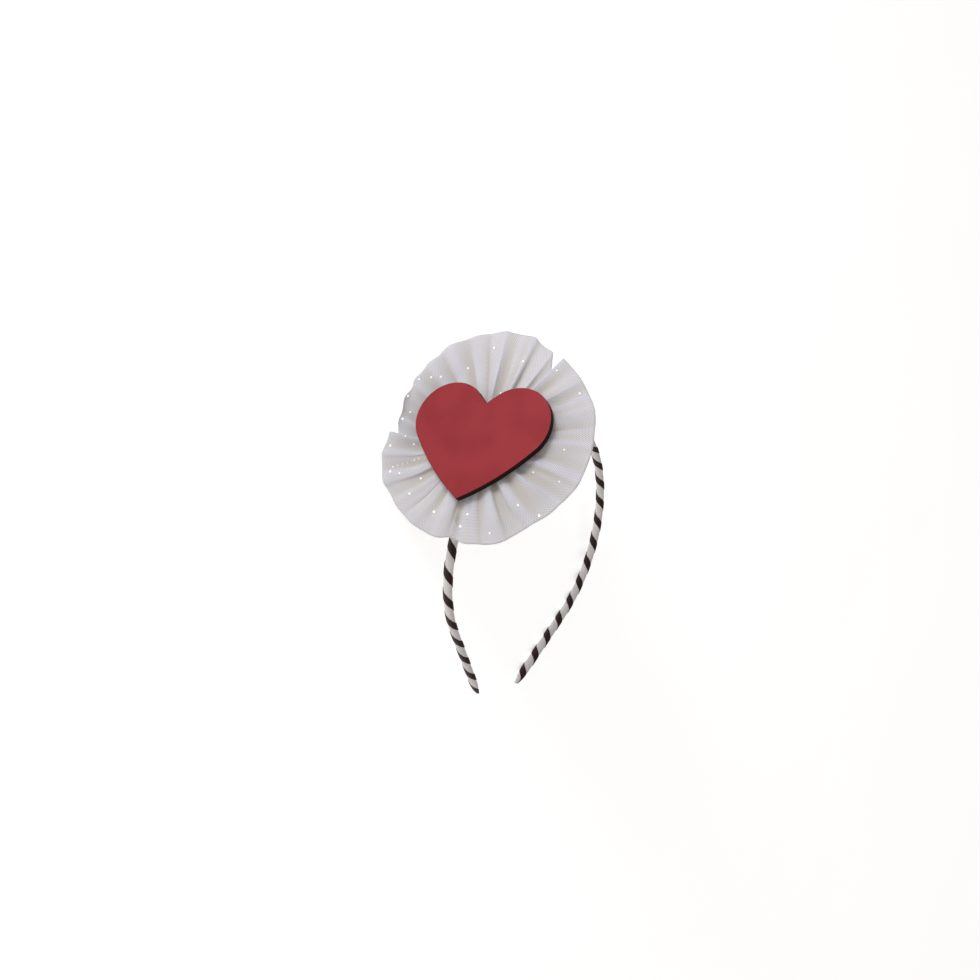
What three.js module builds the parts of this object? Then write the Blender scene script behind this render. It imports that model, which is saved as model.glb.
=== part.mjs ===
// Heart headband: a springy hoop wound in striped ribbon, with a gathered tulle rosette
// on one side and a flat heart on the rosette. Millimetres, +Z up.
// It lies on its side, as it rests by itself: the crown points to +Y and the front is up.
import * as THREE from 'three';

const rad = THREE.MathUtils.degToRad;
const smoothstep = THREE.MathUtils.smoothstep;

// Hoop, in the worn frame: crown to +Z, front to -Y, origin at the centre of the arc
const HOOP_RADIUS = 62;
const HOOP_HALF_ARC = 131.7;
const LEG_LENGTH = 44.3;
const BAND_WIDTH = 4.2;
const BAND_THICKNESS = 2.8;
const TIP_TAPER = 9;
const TIP_SHARE = 0.4;
const BAND_SIDES = 12;
const BAND_STEP = 4.6;
const TIP_STEPS = 4;

// Dark ribbon wound round the band as a left-handed helix
const STRIPE_PITCH = 11.88;
const STRIPE_WIDTH = 4.7;
const STRIPE_THICKNESS = 0.25;
const STRIPE_GAP = 0.12;
const STRIPE_INSET = 3.4;
const STRIPE_START = -35;
const STRIPE_END_GAP = 1;

// Rosette, in its own frame: +Z faces out, +Y points along the hoop to the crown, +X to the front
const ROSETTE_LEAN = 69.8;
const ROSETTE_YAW = 4.3;
const ROSETTE_OUT = 64.4;
const ROSETTE_UP = 19.2;
const ROSETTE_SIDE = 1.1;

// Felt pad between the hoop and the gathers
const PAD_RADIUS = 11;
const PAD_TOP = 0.4;
const PAD_SIDES = 32;
const PAD_GAP = 0.35;

// Tulle fans: a wall that climbs from the gather to a shelf under the heart and goes on to the rim
const TULLE_WALL = 1.2;
const GATHER_RADIUS = 8;
const SHELF_FROM = 0.35;
const SHELF_TO = 0.55;
const FOLD_HEIGHT = 1.2;
const FOLD_GROWTH = 0.0035;
const RIM_FOLD = 0.4;
const FAN_STEP = 2.5;
const FAN_ROWS = 7;

// One row for each fold: its angle, how far its rim reaches, how high the rim lies
// and how far the rim draws in before the next fold
const FRONT_FAN = {
  root: 3.5,
  shelf: 5.6,
  folds: [
    { deg: 190, reach: 42.3, lift: 11.0, draw: 0.2 },
    { deg: 203, reach: 43.8, lift: 11.0, draw: 0.2 },
    { deg: 220, reach: 44.4, lift: 9.6, draw: 0.4 },
    { deg: 237, reach: 43.2, lift: 8.2, draw: 0.2 },
    { deg: 253, reach: 43.1, lift: 6.8, draw: 0.2 },
    { deg: 268, reach: 42.9, lift: 5.4, draw: 1.8 },
    { deg: 290, reach: 43.1, lift: 4.0, draw: 0.2 },
    { deg: 308, reach: 44.9, lift: 3.2, draw: 0.6 },
    { deg: 325, reach: 44.1, lift: 2.6, draw: 0.3 },
    { deg: 342, reach: 46.1, lift: 2.2, draw: 0.3 },
    { deg: 359, reach: 48.3, lift: 2.0, draw: 0.3 },
    { deg: 377, reach: 49.5, lift: 2.4, draw: 0.3 },
    { deg: 395, reach: 50.8, lift: 3.2, draw: 0.3 },
    { deg: 412, reach: 50.5, lift: 4.2, draw: 0.2 },
    { deg: 427, reach: 50.6, lift: 5.2, draw: 0 },
  ],
};
const BACK_FAN = {
  root: 1.6,
  shelf: 1.9,
  folds: [
    { deg: 56, reach: 39.3, lift: 0.8, draw: 0.2 },
    { deg: 67, reach: 42.0, lift: 1.2, draw: 0.2 },
    { deg: 78, reach: 51.4, lift: 1.6, draw: 0.2 },
    { deg: 91, reach: 54.5, lift: 2.4, draw: 0.2 },
    { deg: 104, reach: 55.5, lift: 3.2, draw: 0.4 },
    { deg: 118, reach: 55.0, lift: 4.4, draw: 0.2 },
    { deg: 131, reach: 54.1, lift: 6.0, draw: 0.2 },
    { deg: 144, reach: 51.0, lift: 7.6, draw: 0.2 },
    { deg: 155, reach: 48.6, lift: 8.5, draw: 1.6 },
    { deg: 168, reach: 47.7, lift: 8.5, draw: 0.2 },
    { deg: 180, reach: 43.9, lift: 7.8, draw: 0.2 },
    { deg: 192, reach: 40.3, lift: 6.6, draw: 0.2 },
    { deg: 203, reach: 38.3, lift: 5.6, draw: 0 },
  ],
};

// Heart plate: two round lobes that run straight into the notch, and bowed sides down to the tip
const HEART_BACK = 8;
const HEART_SIDE = 0.5;
const HEART_THICKNESS = 3;
const HEART_TURN = 8.6;
const LOBE_RADIUS = 16.4;
const LOBE_OFFSET = 15.4;
const LOBE_END = -42;
const HEART_TIP = 35.3;
const HEART_NOTCH = 8;
const HEART_CENTRE = 9.2;
const SIDE_BOW = 1.6;
const HEART_SEGMENTS = 18;

// How the hoop leans on the surface that it lies on
const REST_PITCH = 10.5;
const REST_ROLL = 12.1;

// A closed skin over a row of rings. Each ring runs out along one face and back along the other.
function skin(rings) {
  const count = rings[0].length;
  const index = [];
  const face = (...corners) => index.push(...corners);
  for (let i = 0; i < rings.length - 1; i++) {
    for (let j = 0; j < count; j++) {
      const here = i * count + j;
      const next = i * count + (j + 1) % count;
      face(here, here + count, next);
      face(next, here + count, next + count);
    }
  }
  const last = (rings.length - 1) * count;
  for (let j = 0; j < count / 2 - 1; j++) {
    const across = count - 1 - j;
    face(j, j + 1, across - 1);
    face(j, across - 1, across);
    face(last + j, last + across - 1, last + j + 1);
    face(last + j, last + across, last + across - 1);
  }
  const geometry = new THREE.BufferGeometry().setFromPoints(rings.flat());
  geometry.setIndex(index);
  geometry.computeVertexNormals();
  return geometry;
}

function named(name, geometry, finish) {
  const mesh = new THREE.Mesh(geometry, new THREE.MeshStandardMaterial(finish));
  mesh.name = name;
  return mesh;
}

// Hoop: a place along its length, counted from the crown and negative to the left
const ARC_LENGTH = HOOP_RADIUS * rad(HOOP_HALF_ARC);
const HALF_LENGTH = ARC_LENGTH + LEG_LENGTH;
const SIDEWAYS = new THREE.Vector3(0, 1, 0);

function hoopPlace(length) {
  const onArc = THREE.MathUtils.clamp(length, -ARC_LENGTH, ARC_LENGTH);
  const angle = onArc / HOOP_RADIUS;
  const outward = new THREE.Vector3(Math.sin(angle), 0, Math.cos(angle));
  const along = new THREE.Vector3(Math.cos(angle), 0, -Math.sin(angle));
  const centre = outward.clone().multiplyScalar(HOOP_RADIUS).addScaledVector(along, length - onArc);
  return { centre, outward };
}

function tipShare(length) {
  const fromTip = Math.min(HALF_LENGTH - Math.abs(length), TIP_TAPER);
  return TIP_SHARE + (1 - TIP_SHARE) * Math.sin(0.5 * Math.PI * fromTip / TIP_TAPER);
}

function windingPoint(length, turn, proud) {
  const { centre, outward } = hoopPlace(length);
  const share = tipShare(length);
  const high = (share * BAND_THICKNESS / 2 + proud) * Math.cos(turn);
  const wide = (share * BAND_WIDTH / 2 + proud) * Math.sin(turn);
  return centre.addScaledVector(outward, high).addScaledVector(SIDEWAYS, wide);
}

function bandStations() {
  const inner = HALF_LENGTH - TIP_TAPER;
  const steps = Math.ceil(2 * inner / BAND_STEP);
  const middle = Array.from({ length: steps + 1 }, (_, i) => -inner + 2 * inner * i / steps);
  const taper = Array.from({ length: TIP_STEPS }, (_, i) => inner + TIP_TAPER * (i + 1) / TIP_STEPS);
  return [...taper.map((length) => -length).reverse(), ...middle, ...taper];
}

function bandGeometry() {
  const turns = Array.from({ length: BAND_SIDES }, (_, j) => 2 * Math.PI * j / BAND_SIDES);
  return skin(bandStations().map((length) => turns.map((turn) => windingPoint(length, turn, 0))));
}

function stripeGeometry() {
  const first = -HALF_LENGTH + STRIPE_INSET;
  const lengthAt = (turn) => first + STRIPE_PITCH * (turn - rad(STRIPE_START)) / (2 * Math.PI);
  const limit = HALF_LENGTH - STRIPE_WIDTH / 2 - STRIPE_END_GAP;
  const inner = STRIPE_GAP;
  const outer = STRIPE_GAP + STRIPE_THICKNESS;
  const step = 2 * Math.PI / BAND_SIDES;
  const rings = [];
  for (let i = -BAND_SIDES; lengthAt(i * step) < limit; i++) {
    const turn = i * step;
    const low = lengthAt(turn) - STRIPE_WIDTH / 2;
    const high = lengthAt(turn) + STRIPE_WIDTH / 2;
    if (low > -limit - STRIPE_WIDTH / 2) {
      rings.push([
        windingPoint(high, turn, outer),
        windingPoint(low, turn, outer),
        windingPoint(low, turn, inner),
        windingPoint(high, turn, inner),
      ]);
    }
  }
  return skin(rings);
}

// Felt pad: flat under the gathers, hollowed to sit on the hoop
function padGeometry() {
  const hoopOuter = HOOP_RADIUS + BAND_THICKNESS / 2 + STRIPE_GAP + STRIPE_THICKNESS + PAD_GAP;
  const rim = Array.from({ length: PAD_SIDES }, (_, j) => {
    const angle = rad(-90 + 360 * (j + 0.5) / PAD_SIDES);
    return new THREE.Vector3(PAD_RADIUS * Math.cos(angle), PAD_RADIUS * Math.sin(angle), PAD_TOP);
  });
  const seat = rim.map((point) => {
    const alongHoop = point.y + ROSETTE_UP;
    return point.clone().setZ(Math.sqrt(hoopOuter ** 2 - alongHoop ** 2) - ROSETTE_OUT);
  });
  return skin([rim, seat]);
}

// Tulle: the fold that an angle falls in, with a wave of 1 on the folds and -1 between them
function foldAt(folds, deg) {
  const i = Math.max(0, folds.findLastIndex((row, k) => row.deg <= deg && k < folds.length - 1));
  const [from, to] = [folds[i], folds[i + 1]];
  const t = (deg - from.deg) / (to.deg - from.deg);
  const ease = smoothstep(t, 0, 1);
  const wave = Math.cos(2 * Math.PI * t);
  const drawn = from.draw * (1 - wave) / 2;
  return {
    reach: THREE.MathUtils.lerp(from.reach, to.reach, ease) - drawn,
    lift: THREE.MathUtils.lerp(from.lift, to.lift, ease),
    wave,
  };
}

function tullePoint(fan, deg, share) {
  const { reach, lift, wave } = foldAt(fan.folds, deg);
  const radius = THREE.MathUtils.lerp(GATHER_RADIUS, reach, share);
  const climb = (fan.shelf - fan.root) * smoothstep(share, 0, SHELF_FROM);
  const spread = (lift - fan.shelf) * smoothstep(share, SHELF_TO, 1);
  const easing = THREE.MathUtils.lerp(1, RIM_FOLD, smoothstep(share, SHELF_TO, 1));
  const fold = wave * easing * Math.min(FOLD_HEIGHT, FOLD_GROWTH * radius ** 2);
  const height = fan.root + climb + spread + fold;
  return new THREE.Vector3(radius * Math.cos(rad(deg)), radius * Math.sin(rad(deg)), height);
}

function tulleWall(fan, deg, share, side) {
  const across = tullePoint(fan, deg + 0.1, share).sub(tullePoint(fan, deg - 0.1, share));
  const out = tullePoint(fan, deg, share + 0.01).sub(tullePoint(fan, deg, share - 0.01));
  const normal = out.cross(across).normalize();
  return tullePoint(fan, deg, share).addScaledVector(normal, side * TULLE_WALL / 2);
}

// Where the rim meets the surface, the tulle is pressed flat along it
function pressed(point, surface) {
  const depth = Math.min(0, surface.distanceToPoint(point));
  return point.addScaledVector(surface.normal, -depth);
}

function fanGeometry(fan, surface) {
  const from = fan.folds.at(0).deg;
  const to = fan.folds.at(-1).deg;
  const steps = Math.round((to - from) / FAN_STEP);
  const shares = Array.from({ length: FAN_ROWS }, (_, j) => j / (FAN_ROWS - 1));
  const rings = Array.from({ length: steps + 1 }, (_, i) => {
    const deg = from + (to - from) * i / steps;
    const behind = shares.map((share) => tulleWall(fan, deg, share, -1));
    const before = shares.map((share) => tulleWall(fan, deg, share, 1)).reverse();
    return [...behind, ...before].map((point) => pressed(point, surface));
  });
  return skin(rings);
}

// Heart: drawn about the line through its lobes, then centred on the rosette
function heartGeometry() {
  const reach = Math.hypot(LOBE_OFFSET, HEART_NOTCH);
  const notch = Math.atan2(HEART_NOTCH, LOBE_OFFSET) + Math.acos(LOBE_RADIUS / reach);
  const leave = rad(LOBE_END);
  const cheek = new THREE.Vector2(LOBE_OFFSET, 0);
  cheek.add(new THREE.Vector2(Math.cos(leave), Math.sin(leave)).multiplyScalar(LOBE_RADIUS));
  const tip = new THREE.Vector2(0, -HEART_TIP);
  const edge = cheek.clone().sub(tip);
  const bowed = new THREE.Vector2(edge.y, -edge.x).setLength(2 * SIDE_BOW);
  const control = tip.clone().addScaledVector(edge, 0.5).add(bowed);
  const shape = new THREE.Shape();
  shape.moveTo(tip.x, tip.y);
  shape.quadraticCurveTo(control.x, control.y, cheek.x, cheek.y);
  shape.absarc(LOBE_OFFSET, 0, LOBE_RADIUS, leave, Math.PI - notch, false);
  shape.lineTo(0, HEART_NOTCH);
  shape.absarc(-LOBE_OFFSET, 0, LOBE_RADIUS, notch, Math.PI - leave, false);
  shape.quadraticCurveTo(-control.x, control.y, tip.x, tip.y);
  const settings = { depth: HEART_THICKNESS, bevelEnabled: false, curveSegments: HEART_SEGMENTS };
  return new THREE.ExtrudeGeometry(shape, settings).translate(0, HEART_CENTRE, 0);
}

const WHITE_RIBBON = { color: 0xd9d3cb, roughness: 0.7, metalness: 0 };
const BLACK_RIBBON = { color: 0x1c1613, roughness: 0.6, metalness: 0 };
const WHITE_FELT = { color: 0xdedad4, roughness: 0.95, metalness: 0 };
const WHITE_TULLE = { color: 0xd6d1cf, roughness: 0.85, metalness: 0 };
const RED_PAINT = { color: 0x9a383e, roughness: 0.6, metalness: 0 };

const worn = new THREE.Group();
const band = named('band', bandGeometry(), WHITE_RIBBON);
const stripe = named('stripe_ribbon', stripeGeometry(), BLACK_RIBBON);
worn.add(band, stripe);
worn.rotation.set(rad(REST_PITCH - 90), rad(REST_ROLL), 0, 'YXZ');

const seat = new THREE.Group();
seat.rotation.y = rad(-ROSETTE_LEAN);
worn.add(seat);

const rosette = new THREE.Group();
rosette.position.set(ROSETTE_UP, ROSETTE_SIDE, ROSETTE_OUT);
rosette.rotation.set(rad(ROSETTE_YAW), 0, rad(-90), 'XYZ');
seat.add(rosette);

const headband = new THREE.Group();
headband.add(worn);
headband.updateMatrixWorld(true);

// The surface under the wound hoop, seen from the rosette
const lowest = new THREE.Box3().setFromObject(worn, true).min.z;
const surface = new THREE.Plane(new THREE.Vector3(0, 0, 1), -lowest);
surface.applyMatrix4(rosette.matrixWorld.clone().invert());

const heart = named('heart', heartGeometry(), RED_PAINT);
heart.position.set(HEART_SIDE, 0, HEART_BACK);
heart.rotation.z = rad(HEART_TURN);
rosette.add(named('felt_pad', padGeometry(), WHITE_FELT));
rosette.add(named('ruffle_back', fanGeometry(BACK_FAN, surface), WHITE_TULLE));
rosette.add(named('ruffle_front', fanGeometry(FRONT_FAN, surface), WHITE_TULLE));
rosette.add(heart);

// The origin is on the surface, under the middle of the box round the whole headband
const box = new THREE.Box3().setFromObject(headband, true);
const middle = box.getCenter(new THREE.Vector3());
worn.position.set(-middle.x, -middle.y, -lowest);

export default headband;
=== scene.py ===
"""Dresses the heart headband: wound ribbon, gathered tulle, sparkles, a painted heart and its stage."""
import math
from collections import namedtuple

import bmesh
import bpy
import numpy as np
from bpy.props import BoolProperty, FloatProperty, FloatVectorProperty, IntProperty, PointerProperty
from mathutils import Matrix, Vector


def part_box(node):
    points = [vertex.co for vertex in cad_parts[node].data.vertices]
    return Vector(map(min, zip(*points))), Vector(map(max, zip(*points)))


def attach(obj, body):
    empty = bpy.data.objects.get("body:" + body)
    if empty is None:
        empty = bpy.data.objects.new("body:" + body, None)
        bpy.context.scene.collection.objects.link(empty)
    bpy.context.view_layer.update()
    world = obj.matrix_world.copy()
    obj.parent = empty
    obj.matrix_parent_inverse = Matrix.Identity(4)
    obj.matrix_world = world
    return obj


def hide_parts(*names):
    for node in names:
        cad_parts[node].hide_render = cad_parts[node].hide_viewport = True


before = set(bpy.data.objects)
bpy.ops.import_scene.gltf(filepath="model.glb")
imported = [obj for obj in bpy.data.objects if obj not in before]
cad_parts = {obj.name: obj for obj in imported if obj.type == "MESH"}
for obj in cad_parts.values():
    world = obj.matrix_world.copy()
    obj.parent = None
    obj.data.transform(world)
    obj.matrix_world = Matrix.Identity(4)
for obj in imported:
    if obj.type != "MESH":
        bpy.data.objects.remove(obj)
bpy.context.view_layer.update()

bl_info = {
    "name": "Heart headband",
    "version": (1, 0, 0),
    "blender": (4, 5, 0),
    "location": "View3D > Sidebar > Headband",
    "description": "Makes the ribbon, tulle, sparkles and painted heart round a headband's solids",
    "category": "Object",
}

MM = 0.001
FULL_TURN = 2 * math.pi
CLOTH_UV = "cloth"

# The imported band's sections: corners of each, distance between two, and steps in a tip
BAND_SIDES = 12
BAND_STEP = 4.6 * MM
BAND_TIP_STEPS = 4

# One row for each fold of the tulle: its angle, how far its rim reaches, how high the rim lies
# and how far the rim draws in before the next fold. Degrees and millimetres, in the rosette's frame
Fold = namedtuple("Fold", "deg reach lift draw")
FRONT_FOLDS = [
    Fold(190, 42.3, 11.0, 0.2),
    Fold(203, 43.8, 11.0, 0.2),
    Fold(220, 44.4, 9.6, 0.4),
    Fold(237, 43.2, 8.2, 0.2),
    Fold(253, 43.1, 6.8, 0.2),
    Fold(268, 42.9, 5.4, 1.8),
    Fold(290, 43.1, 4.0, 0.2),
    Fold(308, 44.9, 3.2, 0.6),
    Fold(325, 44.1, 2.6, 0.3),
    Fold(342, 46.1, 2.2, 0.3),
    Fold(359, 48.3, 2.0, 0.3),
    Fold(377, 49.5, 2.4, 0.3),
    Fold(395, 50.8, 3.2, 0.3),
    Fold(412, 50.5, 4.2, 0.2),
    Fold(427, 50.6, 5.2, 0),
]
BACK_FOLDS = [
    Fold(56, 39.3, 0.8, 0.2),
    Fold(67, 42.0, 1.2, 0.2),
    Fold(78, 51.4, 1.6, 0.2),
    Fold(91, 54.5, 2.4, 0.2),
    Fold(104, 55.5, 3.2, 0.4),
    Fold(118, 55.0, 4.4, 0.2),
    Fold(131, 54.1, 6.0, 0.2),
    Fold(144, 51.0, 7.6, 0.2),
    Fold(155, 48.6, 8.5, 1.6),
    Fold(168, 47.7, 8.5, 0.2),
    Fold(180, 43.9, 7.8, 0.2),
    Fold(192, 40.3, 6.6, 0.2),
    Fold(203, 38.3, 5.6, 0),
]

# Knife pleats laid over those folds: where the edge lies, which way it faces (1 to larger angles),
# how high the upper layer stands, how far it overlaps and over how many degrees it sinks again
Pleat = namedtuple("Pleat", "deg face height tuck sink")
FRONT_PLEATS = [
    Pleat(206, -1, 0.9, 2.4, 12),
    Pleat(224, 1, 0.7, 2.0, 10),
    Pleat(246, -1, 1.2, 3.2, 11),
    Pleat(262, -1, 0.9, 2.4, 9),
    Pleat(276, 1, 1.3, 3.4, 12),
    Pleat(297, -1, 0.8, 2.2, 11),
    Pleat(312, 1, 1.0, 2.8, 10),
    Pleat(321, -1, 1.0, 2.6, 12),
    Pleat(343, 1, 0.9, 2.6, 12),
    Pleat(366, -1, 0.8, 2.2, 12),
    Pleat(386, 1, 0.7, 2.0, 12),
    Pleat(411, -1, 1.0, 2.6, 10),
]
BACK_PLEATS = [
    Pleat(76, 1, 0.8, 2.2, 8),
    Pleat(87, -1, 1.1, 2.8, 9),
    Pleat(103, -1, 0.7, 1.8, 8),
    Pleat(112, 1, 1.1, 3.0, 12),
    Pleat(122, -1, 0.9, 2.4, 10),
    Pleat(137, 1, 0.9, 2.6, 10),
    Pleat(158, -1, 0.8, 2.2, 12),
]

# The two fans: root is the height of the gather, and shelf the height that the cloth climbs to, in
# millimetres. A fan's crimps are drawn with its own seed
Fan = namedtuple("Fan", "folds pleats root shelf seed rests_on")
FANS = {
    "back": Fan(BACK_FOLDS, BACK_PLEATS, root=1.6, shelf=1.8, seed=34, rests_on="felt_disc"),
    "front": Fan(FRONT_FOLDS, FRONT_PLEATS, root=3.5, shelf=5.4, seed=21, rests_on="tulle_back"),
}
FAN_ROWS = 34
FAN_COLUMN_DEG = 0.42
FAN_ROW_POWER = 0.85
FOLD_FULL_RADIUS = 18 * MM
PLEAT_SOFTNESS = 1.15
CRIMP_WAVES = 9
CRIMP_COUNT = (14, 58)
CRIMP_PHASE = (0, 6.28)
CRIMP_DRIFT = (-0.8, 0.8)
RIM_THIN = 0.4
FLOOR_GAP = 0.05 * MM
NET_RADIUS = 42
NET_HOLE = 0.68

# The thin place in the front fan: its angle, its width in degrees and how sheer it is
SLIT_DEG = 280.5
SLIT_WIDTH = 2.6
SLIT_SHEER = 0.4

# Sparkles on each fan: the angle of each and its distance from the middle
SPARKLES = {
    "back": [
        (126, 40.5), (143, 41.5), (154, 46.5), (166, 45.5), (173, 40.5),
        (179, 41.5), (98, 26), (89, 42.5), (109, 47.5), (148, 44.5),
    ],
    "front": [
        (424.5, 45.5), (406, 46.5), (191, 35), (195, 31.5), (199, 40.5), (219, 37),
        (216, 40), (227, 29), (236, 36), (288, 30.5), (283, 36), (327, 34.5),
        (352, 29.5), (354, 40.5), (333, 42.5), (373, 38.5), (260, 34), (303, 40),
    ],
}
GLINT_ROW = {"deg": (208.5, 213), "radius": (28, 39.5), "count": 7}
SPARKLE_SIZES = (0.6, 1.15)
BEHIND_FRONT_SHARE = 0.6
BEHIND_MARGIN_DEG = 4
BEHIND_RADIUS = (20, 40)
BEHIND_SIZE = 0.9
NEAR_SIDE_PULL = 0.2
FLECK_SIDES = 8

# Lights: distances and sizes in metres, and the key light's direction along the camera's axes
KEY_TOWARD = {"right": -0.45, "up": 0.95, "back": 0.85}
KEY_LIGHT = {"distance": 0.6, "size": 0.18, "tint": (0.95, 0.975, 1)}
TOP_LIGHT = {"distance": 2.4, "size": 4.0, "tint": (1, 0.985, 0.97)}
SKY_TINT = (1, 0.985, 0.97, 1)
SENSOR_MM = 36
NEAREST_SEEN = 0.01


def of_kind(kind, name, about, default, **more):
    """One property with a name, a description and a default."""
    return kind(name=name, description=about, default=default, **more)


def length(name, about, millimetres):
    return of_kind(FloatProperty, name, about, millimetres * MM, unit="LENGTH", precision=5)


def angle(name, about, degrees):
    return of_kind(FloatProperty, name, about, math.radians(degrees), subtype="ANGLE")


def share(name, about, default):
    return of_kind(FloatProperty, name, about, default, subtype="FACTOR", min=0, max=1)


def strength(name, about, default):
    return of_kind(FloatProperty, name, about, default, min=0)


def colour(name, about, red, green, blue):
    """A colour property from 8-bit sRGB values, kept as linear light."""
    linear = [((value / 255 + 0.055) / 1.055) ** 2.4 for value in (red, green, blue)]
    return of_kind(FloatVectorProperty, name, about, (*linear, 1), subtype="COLOR", size=4, min=0, max=1)


def settings_of(kind, name, about):
    return PointerProperty(type=kind, name=name, description=about)


class HoopSettings(bpy.types.PropertyGroup):
    radius: length("Radius", "Radius of the hoop's arc, to the middle of the band", 62)
    half_arc: angle("Half arc", "Angle of the arc from the crown to where a leg starts", 131.7)
    leg: length("Leg", "Straight length at each end", 44.3)
    width: length("Width", "Band's width, across the head", 4.2)
    thickness: length("Thickness", "Band's thickness, out from the head", 2.8)
    taper: length("Tip taper", "Length over which the tip narrows", 9)
    tip: share("Tip share", "Share of the section that is left at the tip", 0.4)
    cap: length("Tip cap", "How far the ribbon rounds over the tip", 0.6)
    bulge: length("Bulge", "How far the white ribbon stands up between two dark turns", 0.12)
    pitch: angle("Rest pitch", "How the hoop's front lifts off the surface that it lies on", 10.5)
    roll: angle("Rest roll", "How the hoop rolls towards the rosette", 12.1)


class RibbonSettings(bpy.types.PropertyGroup):
    pitch: length("Pitch", "Distance along the hoop from one dark turn to the next", 11.88)
    width: length("Width", "Width of the dark ribbon along the hoop", 4.7)
    gap: length("Underside", "How far the dark ribbon's underside lies above the band", 0.1)
    thickness: length("Thickness", "Thickness of the dark ribbon", 0.25)
    inset: length("Inset", "Distance from the left tip to the first turn", 3.4)
    end_gap: length("End gap", "How far from each tip the dark ribbon's middle ends", 1)
    start: angle("Start", "Turn at which the dark ribbon starts", -35)
    white: colour("White", "Colour of the white ribbon", 232, 227, 225)
    dark: colour("Dark", "Colour of the dark ribbon", 46, 20, 13)


class TulleSettings(bpy.types.PropertyGroup):
    lean: angle("Lean", "Angle from the crown to the rosette", 69.8)
    yaw: angle("Yaw", "How the rosette turns to the front", 4.3)
    out: length("Out", "Distance of the rosette's plane from the hoop's centre", 64.4)
    up: length("Up", "How far the rosette lies along the hoop from its leaning line", 19.2)
    side: length("Side", "How far the rosette lies to the back", 1.1)
    gather: length("Gather radius", "Radius of the gathered inner edge", 8)
    wall: length("Cloth", "Thickness of the gathered cloth", 0.36)
    fold: length("Fold height", "Height of the broad folds under the heart", 0.7)
    rim_fold: share("Rim fold", "Share of the broad folds that is left at the rim", 0.4)
    open: share("Pleat opening", "How far the pleats have opened at the rim", 0.5)
    crimp: length("Crimp", "Height of the fine gathers", 0.15)
    press: length("Press", "How softly the cloth bends where it lies on the floor", 1.2)
    tint: colour("Tulle", "Colour of the tulle", 222, 220, 229)
    # Painted shade: the darker, warmer colour laid into the fold valleys; the net holes take a darker
    # copy of it
    valley: colour("Valley", "Colour of the tulle deep in the gathers", 207, 199, 191)
    cover: share("Cover", "How much of the light a net hole stops", 0.68)


class SparkleSettings(bpy.types.PropertyGroup):
    radius: length("Radius", "Radius of a sparkle", 0.5)
    thickness: length("Thickness", "Thickness of a sparkle", 0.12)
    tiny: share("Tiny", "Size of a glint in the row, as a share of a sparkle", 0.5)
    behind: of_kind(IntProperty, "Behind", "How many sparkles lie on the back of the tulle", 26, min=0)
    seed: of_kind(IntProperty, "Seed", "Seed for the sparkles' turns and sizes", 4)
    tint: colour("Sparkle", "Colour of the sparkles", 255, 253, 250)


class HeartSettings(bpy.types.PropertyGroup):
    back: length("Back", "Height of the heart's back over the rosette's plane", 8)
    side: length("Side", "How far the heart sits to the front of the rosette's middle", 0.5)
    thickness: length("Thickness", "Thickness of the plate", 3)
    turn: angle("Turn", "How the heart turns on the rosette", 8.6)
    lobe: length("Lobe radius", "Radius of a lobe", 16.4)
    offset: length("Lobe offset", "Distance of a lobe's centre from the middle line", 15.4)
    leave: angle("Lobe end", "Angle at which a lobe runs into the side", -42)
    tip: length("Tip", "Distance of the tip below the lobes' centres", 35.3)
    notch: length("Notch", "Height of the notch over the lobes' centres", 8)
    centre: length("Centre", "Height of the lobes' centres over the rosette's middle", 9.2)
    bow: length("Side bow", "How far a side bows out", 1.6)
    edge: length("Edge", "Rounding of the cut edge", 0.25)
    paint: colour("Paint", "Colour of the painted face", 154, 45, 52)
    shade: colour("Shade", "Colour of the darker patches in the paint", 144, 38, 45)
    burnt: colour("Cut edge", "Colour of the burnt cut edge", 38, 20, 15)


class PadSettings(bpy.types.PropertyGroup):
    radius: length("Radius", "Radius of the felt pad", 11)
    top: length("Top", "Height of its top over the rosette's plane", 0.4)
    seat: length("Seat gap", "Gap between its seat and the wound hoop", 0.72)
    edge: length("Edge", "Rounding of its rim", 0.4)
    felt: colour("Felt", "Colour of the felt", 224, 219, 212)


class StageSettings(bpy.types.PropertyGroup):
    lens: length("Lens", "Focal length on a 36 mm sensor", 30.48)
    distance: length("Distance", "Distance of the camera from the hoop's centre plane", 400)
    right: length("Right", "How far the camera stands to the right of the hoop's centre", -20.39)
    above: length("Above", "How far the camera stands above the hoop's centre", 24.98)
    azimuth: angle("Azimuth", "Camera's turn round the worn hoop from the front", -55.03)
    elevation: angle("Elevation", "Camera's height over the worn hoop's horizon", 6.02)
    roll: angle("Roll", "Camera's roll", 13.15)
    floor: length("Floor", "Half the width of the floor", 4000)
    key: strength("Key", "Power of the key light in watts", 1.55)
    top: strength("Top", "Power of the broad light overhead in watts", 16.0)
    sky: strength("Sky", "Strength of the even light all round", 0.33)
    paper: colour("Floor", "Colour of the pale floor", 252, 251, 250)
    glow: strength("Glow", "Light that the floor gives off, as a light table does", 0.53)


class HeadbandSettings(bpy.types.PropertyGroup):
    hoop: settings_of(HoopSettings, "Hoop", "Sizes of the hoop")
    ribbon: settings_of(RibbonSettings, "Ribbon", "Ribbon wound on the hoop")
    tulle: settings_of(TulleSettings, "Tulle", "Gathered tulle of the rosette")
    sparkle: settings_of(SparkleSettings, "Sparkles", "Sparkles on the tulle")
    heart: settings_of(HeartSettings, "Heart", "Painted heart plate")
    pad: settings_of(PadSettings, "Pad", "Felt pad behind the gathers")
    stage: settings_of(StageSettings, "Stage", "Floor, lights and camera")
    show_sizes: of_kind(BoolProperty, "Show sizes", "List the sizes in the panel", False)


def settings():
    return bpy.context.scene.headband


# Frames
def turned(by, axis):
    return Matrix.Rotation(by, 4, axis)


def rest_turn():
    """How the worn hoop is turned to lie on its side."""
    hoop = settings().hoop
    return turned(hoop.roll, "Y") @ turned(hoop.pitch - math.pi / 2, "X")


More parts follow.
